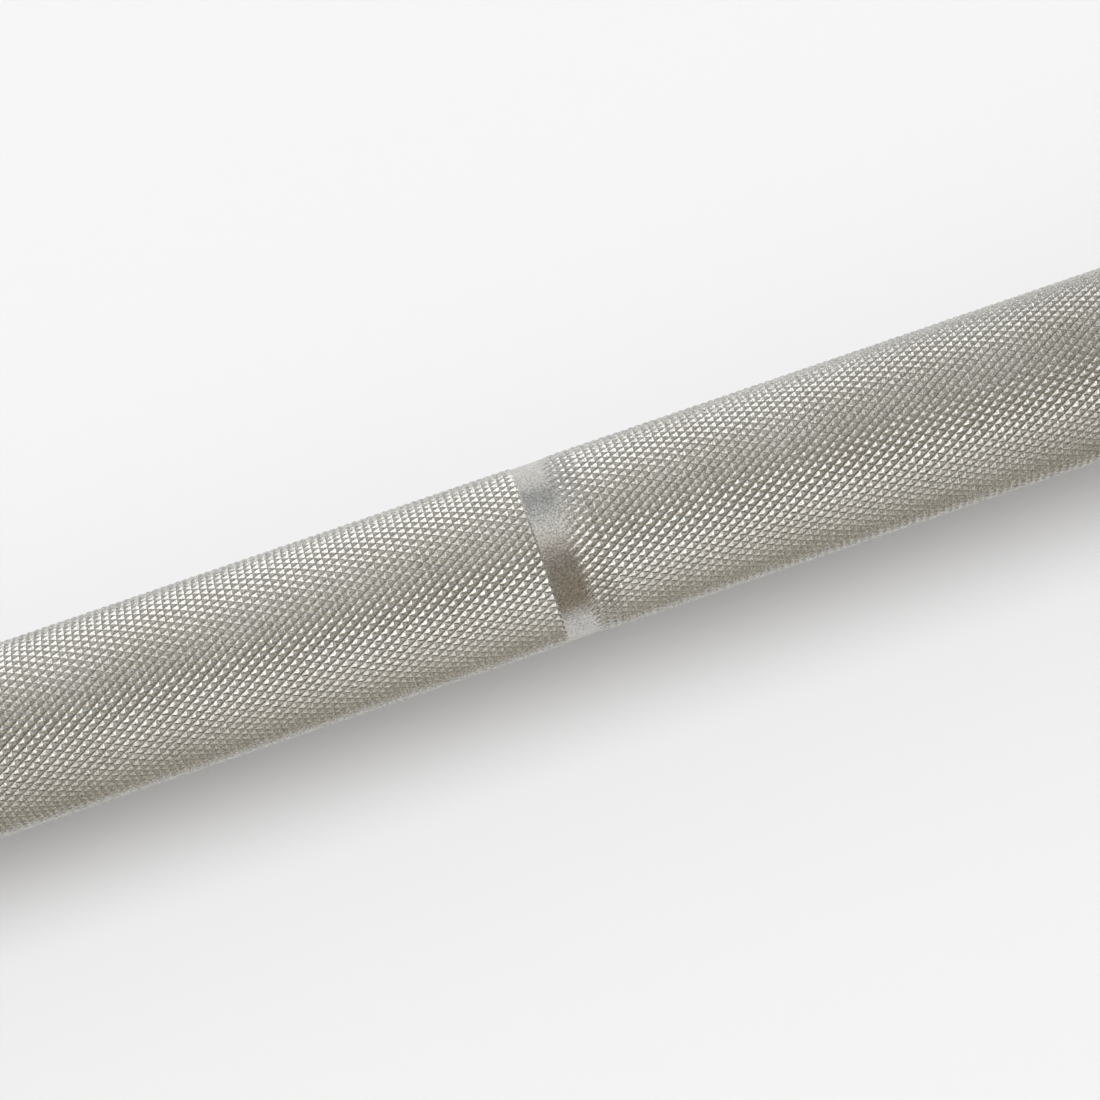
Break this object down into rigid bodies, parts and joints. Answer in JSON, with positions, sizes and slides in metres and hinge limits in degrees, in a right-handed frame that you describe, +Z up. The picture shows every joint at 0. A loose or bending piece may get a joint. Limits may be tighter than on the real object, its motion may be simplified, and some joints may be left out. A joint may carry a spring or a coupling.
{
  "type": "barbell",
  "caption": "Straight weightlifting bar: diamond-knurled steel shaft with smooth grip marks, and at each end a shoulder collar and a smooth sleeve that spins on bushings and needle bearings.",
  "frame": {"origin": "middle of the shaft, on the bar's axis", "axes": "+X along the bar, towards the right sleeve; +Z up; the bar is the same seen from either end"},
  "size_m": [2.2, 0.0858, 0.0858],
  "materials": {
    "shaft_steel": "diamond-knurled, satin hard chrome",
    "sleeve_chrome": "turned, satin hard chrome",
    "cap_steel": "fine turned, satin",
    "bushing_bronze": "sintered bronze, oiled",
    "bearing_steel": "ground and polished",
    "spring_steel": "black phosphate, oiled",
    "seal_rubber": "moulded, matt black"
  },
  "bodies": {
    "shaft": {"shaft": "shaft_steel", "right_inner_thrust_washer": "bearing_steel", "right_outer_thrust_washer": "bearing_steel", "right_shaft_circlip": "spring_steel", "left_inner_thrust_washer": "bearing_steel", "left_outer_thrust_washer": "bearing_steel", "left_shaft_circlip": "spring_steel"},
    "right_sleeve": {"right_sleeve": "sleeve_chrome", "right_collar": "sleeve_chrome", "right_dust_seal": "seal_rubber", "right_inner_bushing": "bushing_bronze", "right_outer_bushing": "bushing_bronze", "right_inner_bearing_cup": "bearing_steel", "right_outer_bearing_cup": "bearing_steel", "right_end_cap": "cap_steel", "right_end_cap_circlip": "spring_steel"},
    "right_inner_cage": {"right_inner_bearing_roller_cage": "bearing_steel"},
    "right_outer_cage": {"right_outer_bearing_roller_cage": "bearing_steel"},
    "left_sleeve": {"left_sleeve": "sleeve_chrome", "left_collar": "sleeve_chrome", "left_dust_seal": "seal_rubber", "left_inner_bushing": "bushing_bronze", "left_outer_bushing": "bushing_bronze", "left_inner_bearing_cup": "bearing_steel", "left_outer_bearing_cup": "bearing_steel", "left_end_cap": "cap_steel", "left_end_cap_circlip": "spring_steel"},
    "left_inner_cage": {"left_inner_bearing_roller_cage": "bearing_steel"},
    "left_outer_cage": {"left_outer_bearing_roller_cage": "bearing_steel"}
  },
  "joints": [
    {"name": "right_sleeve_spin", "type": "hinge", "parent": "shaft", "child": "right_sleeve", "pos_m": [0.8775, 0, 0], "axis": [1, 0, 0], "continuous": true},
    {"name": "right_inner_cage_spin", "type": "hinge", "parent": "shaft", "child": "right_inner_cage", "pos_m": [0.706, 0, 0], "axis": [1, 0, 0], "continuous": true},
    {"name": "right_outer_cage_spin", "type": "hinge", "parent": "shaft", "child": "right_outer_cage", "pos_m": [1.028, 0, 0], "axis": [1, 0, 0], "continuous": true},
    {"name": "left_sleeve_spin", "type": "hinge", "parent": "shaft", "child": "left_sleeve", "pos_m": [-0.8775, 0, 0], "axis": [1, 0, 0], "continuous": true},
    {"name": "left_inner_cage_spin", "type": "hinge", "parent": "shaft", "child": "left_inner_cage", "pos_m": [-0.706, 0, 0], "axis": [1, 0, 0], "continuous": true},
    {"name": "left_outer_cage_spin", "type": "hinge", "parent": "shaft", "child": "left_outer_cage", "pos_m": [-1.028, 0, 0], "axis": [1, 0, 0], "continuous": true}
  ],
  "couplings": [
    {"joint": "right_inner_cage_spin", "follows": "right_sleeve_spin", "ratio": 0.537},
    {"joint": "right_outer_cage_spin", "follows": "right_sleeve_spin", "ratio": 0.537},
    {"joint": "left_inner_cage_spin", "follows": "left_sleeve_spin", "ratio": 0.537},
    {"joint": "left_outer_cage_spin", "follows": "left_sleeve_spin", "ratio": 0.537}
  ]
}
